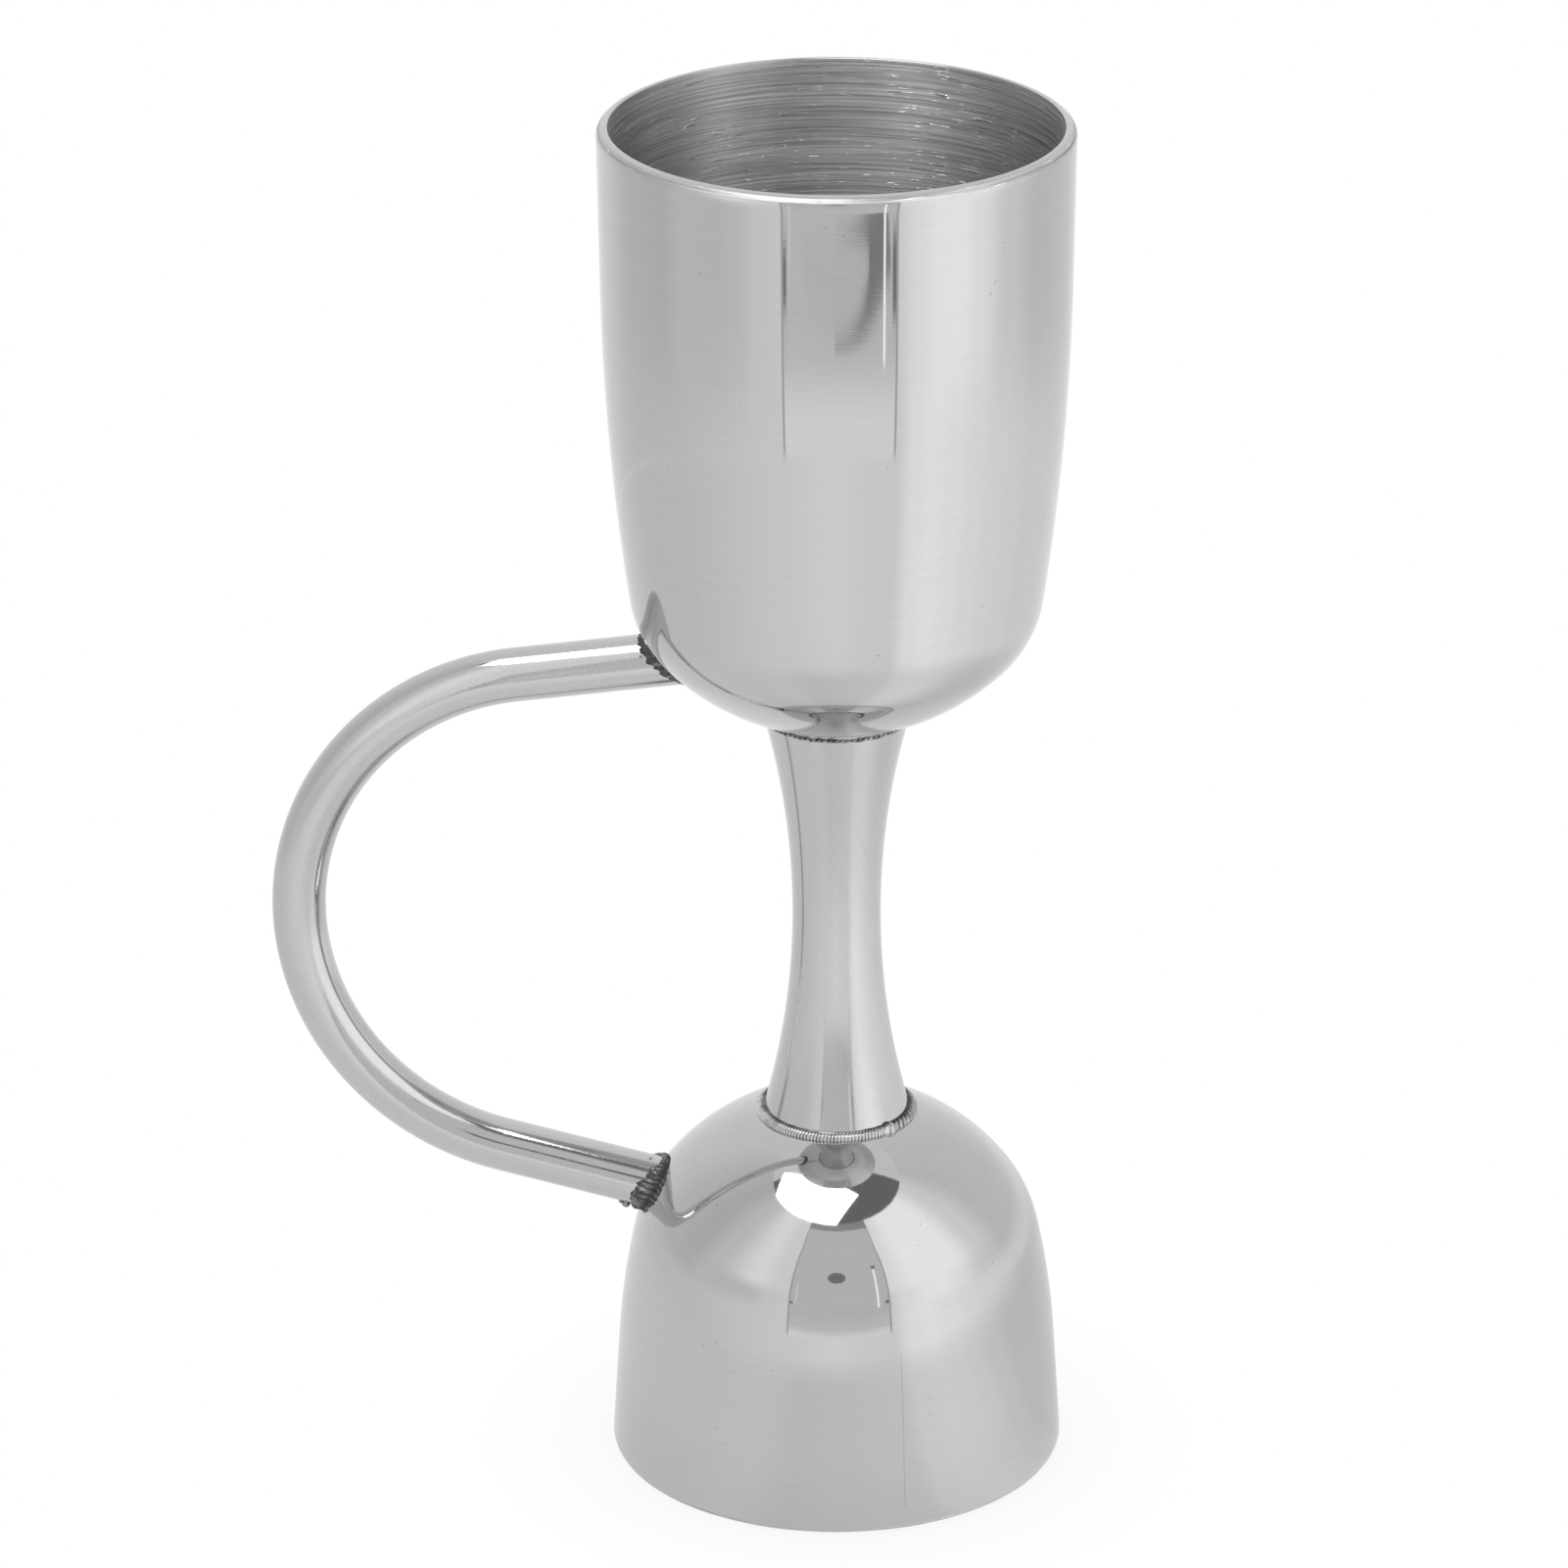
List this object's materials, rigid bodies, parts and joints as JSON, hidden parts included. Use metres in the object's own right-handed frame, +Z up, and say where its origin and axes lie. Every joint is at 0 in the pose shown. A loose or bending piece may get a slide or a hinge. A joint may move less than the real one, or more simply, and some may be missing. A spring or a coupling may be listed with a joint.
{
  "type": "bar jigger",
  "caption": "Double-ended measuring cup for drinks: a large and a small steel cup, bottom to bottom on a waisted stem, with a bent rod handle welded to the side of both.",
  "frame": {"origin": "on the surface it stands on, under the middle of the object's box", "axes": "+Z up along the cups' axis, from the small cup's rim to the large cup's rim; +X away from the handle; the handle lies in the XZ plane; +Y across it"},
  "size_m": [0.0743, 0.0428, 0.13],
  "materials": {
    "brushed_stainless": "fine circumferential brushing over a bright polish outside, coarser turned lines inside",
    "polished_stainless": "polished rod",
    "satin_stainless": "satin, fine slanting brush marks",
    "weld_metal": "rough rippled weld bead, dark in its hollows"
  },
  "bodies": {
    "root": {"large_cup": "brushed_stainless", "small_cup": "brushed_stainless", "stem_tube": "satin_stainless", "handle": "polished_stainless", "stem_top_weld": "weld_metal", "stem_foot_weld": "weld_metal", "handle_upper_weld": "weld_metal", "handle_lower_weld": "weld_metal"}
  },
  "joints": []
}
